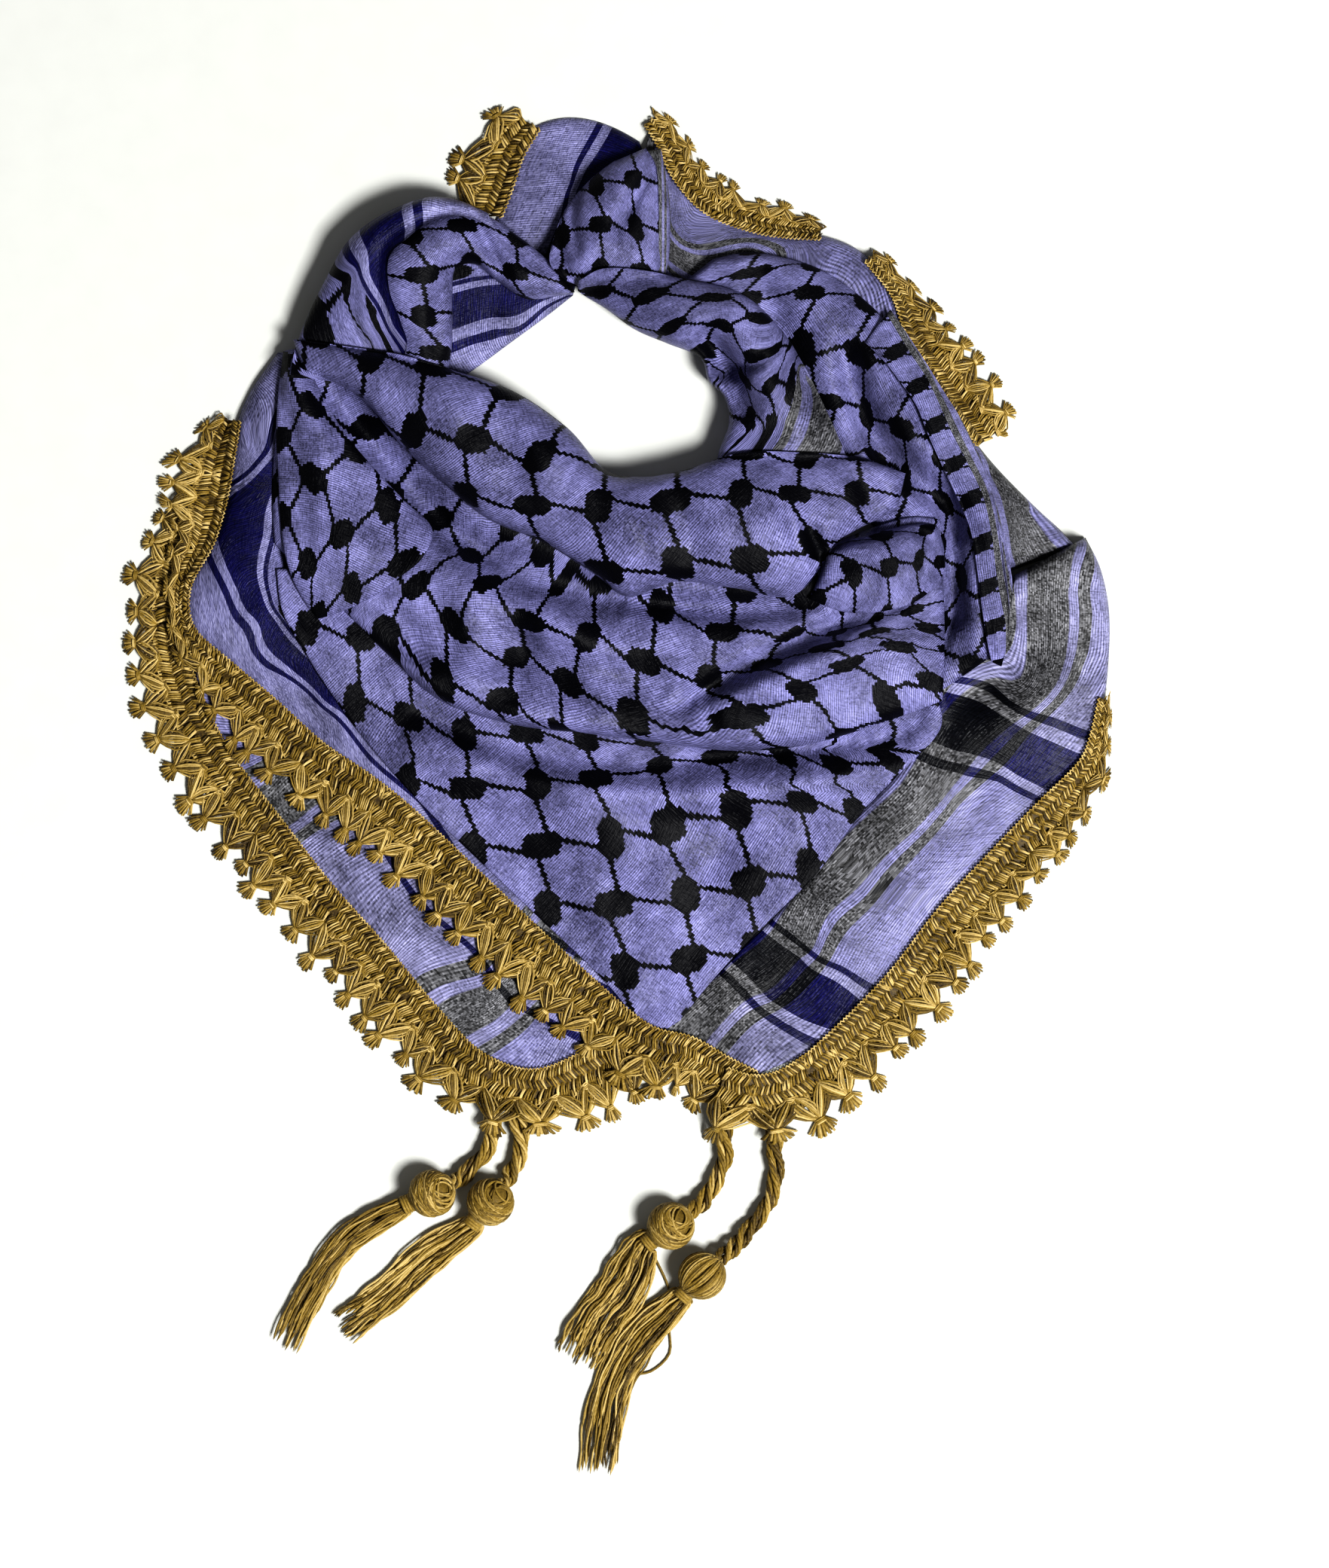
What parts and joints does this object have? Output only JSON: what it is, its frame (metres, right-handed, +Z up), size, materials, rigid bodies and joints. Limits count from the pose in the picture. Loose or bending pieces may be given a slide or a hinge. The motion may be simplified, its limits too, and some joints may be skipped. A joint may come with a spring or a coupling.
{
  "type": "keffiyeh headscarf",
  "caption": "Keffiyeh headscarf wound as a neck scarf and laid flat, with a neck opening, a crocheted edge and yarn tassels at its front corner.",
  "frame": {"origin": "middle of the whole outline, on the surface the scarf rests on", "axes": "+Y towards the back of the neck, -Y towards the tassels, +X to the right seen from above with the back of the neck up, +Z up from the table"},
  "size_m": [0.4598, 0.6358, 0.0414],
  "materials": {
    "violet_cloth": "soft woven cotton, lavender with a black net",
    "grey_cloth": "soft woven cotton, grey and lavender stripes",
    "navy_cloth": "soft woven cotton, navy and lavender stripes",
    "gold_yarn": "matte cotton yarn, crocheted or twisted"
  },
  "bodies": {
    "root": {"lower_layer": "violet_cloth", "left_end_flap": "violet_cloth", "back_border": "grey_cloth", "inner_back_band": "navy_cloth", "right_border": "grey_cloth", "right_shoulder": "violet_cloth", "left_border": "navy_cloth", "front_field": "violet_cloth", "cowl": "violet_cloth", "left_back_roll": "violet_cloth", "knot": "violet_cloth", "right_back_roll": "violet_cloth", "front_roll": "violet_cloth", "lower_trim": "gold_yarn", "left_end_trim": "gold_yarn", "back_end_trim": "gold_yarn", "back_trim": "gold_yarn", "upper_trim": "gold_yarn", "right_trim": "gold_yarn", "tassel_a_head": "gold_yarn", "tassel_a_skirt": "gold_yarn", "tassel_b_head": "gold_yarn", "tassel_b_skirt": "gold_yarn", "tassel_c_head": "gold_yarn", "tassel_c_skirt": "gold_yarn", "tassel_d_head": "gold_yarn", "tassel_d_skirt": "gold_yarn"}
  },
  "joints": []
}
